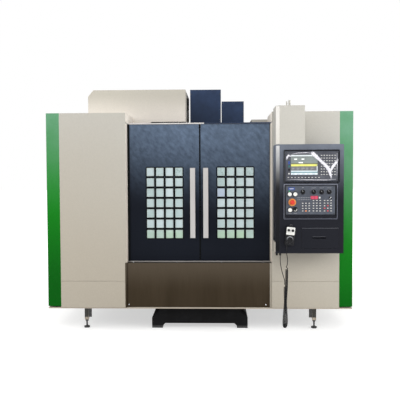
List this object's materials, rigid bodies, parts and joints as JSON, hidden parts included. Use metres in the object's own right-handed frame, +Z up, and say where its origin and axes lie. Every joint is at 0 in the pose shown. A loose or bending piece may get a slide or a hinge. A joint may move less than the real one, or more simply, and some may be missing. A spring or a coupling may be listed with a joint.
{
  "type": "cnc machining center",
  "caption": "Vertical machining center in a sheet-metal guard with sliding doors, operator console, tool changer and hanging handwheel.",
  "frame": {"origin": "middle of the footprint, on the floor", "axes": "+X to the right of the operator who faces the doors, +Y into the machine, +Z up"},
  "size_m": [2.68, 2.504, 2.232],
  "materials": {
    "beige_paint": "satin powder coat",
    "green_paint": "satin powder coat",
    "door_paint": "satin powder coat",
    "console_paint": "fine texture paint",
    "cover_paint": "satin paint",
    "stainless": "brushed vertically",
    "liner_steel": "satin paint",
    "cast_iron": "painted casting",
    "ground_steel": "ground",
    "aluminium": "satin anodised",
    "window_glass": "translucent safety sheet",
    "black_plastic": "moulded",
    "white_plastic": "moulded",
    "red_plastic": "moulded",
    "key_plastic": "membrane keys",
    "screen_plastic": "display unit housing",
    "grey_plastic": "panel sheet",
    "motor_black": "semi-gloss enamel",
    "cord_rubber": "jacket",
    "cabinet_paint": "satin powder coat"
  },
  "bodies": {
    "machine": {"axis_motors": "motor_black", "base_casting": "cast_iron", "cable_fittings": "black_plastic", "chamber_liner": "liner_steel", "column": "cast_iron", "coolant_tank": "cabinet_paint", "corner_trims": "green_paint", "door_tracks": "aluminium", "electrical_cabinet": "cabinet_paint", "front_apron": "stainless", "front_panel_left": "beige_paint", "front_panel_right": "beige_paint", "guard_panels": "beige_paint", "guide_rails": "ground_steel", "levelling_feet": "ground_steel", "machine_panel": "grey_plastic", "magazine_cover": "beige_paint", "magazine_frame": "cast_iron", "membrane_keys": "key_plastic", "mpg_coil": "cord_rubber", "mpg_handset": "black_plastic", "mpg_lead": "cord_rubber", "pod_bezel": "console_paint", "pod_box": "beige_paint", "return_lead": "cord_rubber", "screen_unit": "screen_plastic"},
    "door_left": {"door_left": "door_paint", "window_left": "window_glass", "handle_left": "aluminium"},
    "door_right": {"door_right": "door_paint", "window_right": "window_glass", "handle_right": "aluminium"},
    "saddle": {"saddle": "cast_iron"},
    "table": {"table": "ground_steel", "x_way_covers": "ground_steel"},
    "y_cover_a": {"y_way_cover_a": "ground_steel"},
    "y_cover_b": {"y_way_cover_b": "ground_steel"},
    "z_cover": {"z_way_cover": "ground_steel"},
    "head": {"head": "cast_iron", "head_covers": "cover_paint"},
    "spindle": {"spindle": "ground_steel"},
    "magazine": {"magazine_disc": "aluminium"},
    "arm_shaft": {"arm_shaft": "ground_steel"},
    "change_arm": {"change_arm": "ground_steel"},
    "drawer": {"drawer": "console_paint"},
    "cabinet_door": {"cabinet_door": "cabinet_paint"},
    "main_switch": {"main_switch": "red_plastic"},
    "stop_button": {"stop_button": "red_plastic"},
    "key_switch": {"key_switch": "ground_steel"},
    "mpg_axis_knob": {"mpg_axis_knob": "black_plastic"},
    "mpg_step_knob": {"mpg_step_knob": "black_plastic"},
    "mpg_dial": {"mpg_dial": "black_plastic"},
    "button_start": {"button_start": "white_plastic"},
    "button_hold": {"button_hold": "white_plastic"},
    "button_power_on": {"button_power_on": "white_plastic"},
    "button_power_off": {"button_power_off": "white_plastic"},
    "selector_mode": {"selector_mode": "black_plastic"},
    "selector_feed": {"selector_feed": "black_plastic"},
    "selector_rapid": {"selector_rapid": "black_plastic"},
    "selector_spindle": {"selector_spindle": "black_plastic"}
  },
  "joints": [
    {"name": "door_left_slide", "type": "slide", "parent": "machine", "child": "door_left", "axis": [-1, 0, 0], "range_m": [0, 0.555]},
    {"name": "door_right_slide", "type": "slide", "parent": "machine", "child": "door_right", "axis": [1, 0, 0], "range_m": [0, 0.555]},
    {"name": "y_axis", "type": "slide", "parent": "machine", "child": "saddle", "axis": [0, 1, 0], "range_m": [-0.25, 0.25]},
    {"name": "x_axis", "type": "slide", "parent": "saddle", "child": "table", "axis": [1, 0, 0], "range_m": [-0.4, 0.4]},
    {"name": "z_axis", "type": "slide", "parent": "machine", "child": "head", "axis": [0, 0, 1], "range_m": [-0.5, 0]},
    {"name": "y_cover_a_slide", "type": "slide", "parent": "machine", "child": "y_cover_a", "axis": [0, 1, 0], "range_m": [-0.08334, 0.08334]},
    {"name": "y_cover_b_slide", "type": "slide", "parent": "machine", "child": "y_cover_b", "axis": [0, 1, 0], "range_m": [-0.16668, 0.16668]},
    {"name": "z_cover_slide", "type": "slide", "parent": "machine", "child": "z_cover", "axis": [0, 0, 1], "range_m": [-0.25, 0]},
    {"name": "spindle_spin", "type": "hinge", "parent": "head", "child": "spindle", "pos_m": [0, -0.14, 1.48], "axis": [0, 0, 1], "continuous": true},
    {"name": "magazine_turn", "type": "hinge", "parent": "machine", "child": "magazine", "pos_m": [-0.596, -0.14, 1.83], "axis": [1, 0, 0], "continuous": true},
    {"name": "arm_drop", "type": "slide", "parent": "machine", "child": "arm_shaft", "axis": [0, 0, 1], "range_m": [-0.115, 0]},
    {"name": "arm_swing", "type": "hinge", "parent": "arm_shaft", "child": "change_arm", "pos_m": [-0.325, -0.14, 1.438], "axis": [0, 0, 1], "range_deg": [0, 270]},
    {"name": "drawer_slide", "type": "slide", "parent": "machine", "child": "drawer", "axis": [0, -1, 0], "range_m": [0, 0.165]},
    {"name": "cabinet_door_hinge", "type": "hinge", "parent": "machine", "child": "cabinet_door", "pos_m": [0.659, 1.218, 1.195], "axis": [0, 0, -1], "range_deg": [0, 110]},
    {"name": "main_switch_turn", "type": "hinge", "parent": "cabinet_door", "child": "main_switch", "pos_m": [-0.31, 1.23, 1.5], "axis": [0, 1, 0], "range_deg": [0, 90]},
    {"name": "button_start_press", "type": "slide", "parent": "machine", "child": "button_start", "axis": [0, 1, 0], "range_m": [0, 0.004], "stiffness_N_per_m": 400},
    {"name": "button_hold_press", "type": "slide", "parent": "machine", "child": "button_hold", "axis": [0, 1, 0], "range_m": [0, 0.004], "stiffness_N_per_m": 400},
    {"name": "button_power_on_press", "type": "slide", "parent": "machine", "child": "button_power_on", "axis": [0, 1, 0], "range_m": [0, 0.004], "stiffness_N_per_m": 400},
    {"name": "button_power_off_press", "type": "slide", "parent": "machine", "child": "button_power_off", "axis": [0, 1, 0], "range_m": [0, 0.004], "stiffness_N_per_m": 400},
    {"name": "stop_button_press", "type": "slide", "parent": "machine", "child": "stop_button", "axis": [0, 1, 0], "range_m": [0, 0.006]},
    {"name": "selector_mode_turn", "type": "hinge", "parent": "machine", "child": "selector_mode", "pos_m": [0.872, -1.2, 1.24], "axis": [0, -1, 0], "range_deg": [-120, 120]},
    {"name": "selector_feed_turn", "type": "hinge", "parent": "machine", "child": "selector_feed", "pos_m": [0.961, -1.2, 1.24], "axis": [0, -1, 0], "range_deg": [-135, 135]},
    {"name": "selector_rapid_turn", "type": "hinge", "parent": "machine", "child": "selector_rapid", "pos_m": [1.026, -1.2, 1.24], "axis": [0, -1, 0], "range_deg": [-135, 135]},
    {"name": "selector_spindle_turn", "type": "hinge", "parent": "machine", "child": "selector_spindle", "pos_m": [1.088, -1.2, 1.24], "axis": [0, -1, 0], "range_deg": [-135, 135]},
    {"name": "key_switch_turn", "type": "hinge", "parent": "machine", "child": "key_switch", "pos_m": [1.098, -1.2, 1.191], "axis": [0, -1, 0], "range_deg": [0, 90]},
    {"name": "mpg_axis_turn", "type": "hinge", "parent": "machine", "child": "mpg_axis_knob", "pos_m": [0.75154, -1.236, 0.92662], "axis": [0, -1, 0], "range_deg": [-90, 90]},
    {"name": "mpg_step_turn", "type": "hinge", "parent": "machine", "child": "mpg_step_knob", "pos_m": [0.78532, -1.236, 0.92277], "axis": [0, -1, 0], "range_deg": [-60, 60]},
    {"name": "mpg_dial_turn", "type": "hinge", "parent": "machine", "child": "mpg_dial", "pos_m": [0.75983, -1.236, 0.84918], "axis": [0, -1, 0], "continuous": true}
  ],
  "couplings": [
    {"joint": "y_cover_a_slide", "follows": "y_axis", "ratio": 0.33333},
    {"joint": "y_cover_b_slide", "follows": "y_axis", "ratio": 0.66667},
    {"joint": "z_cover_slide", "follows": "z_axis", "ratio": 0.5}
  ]
}
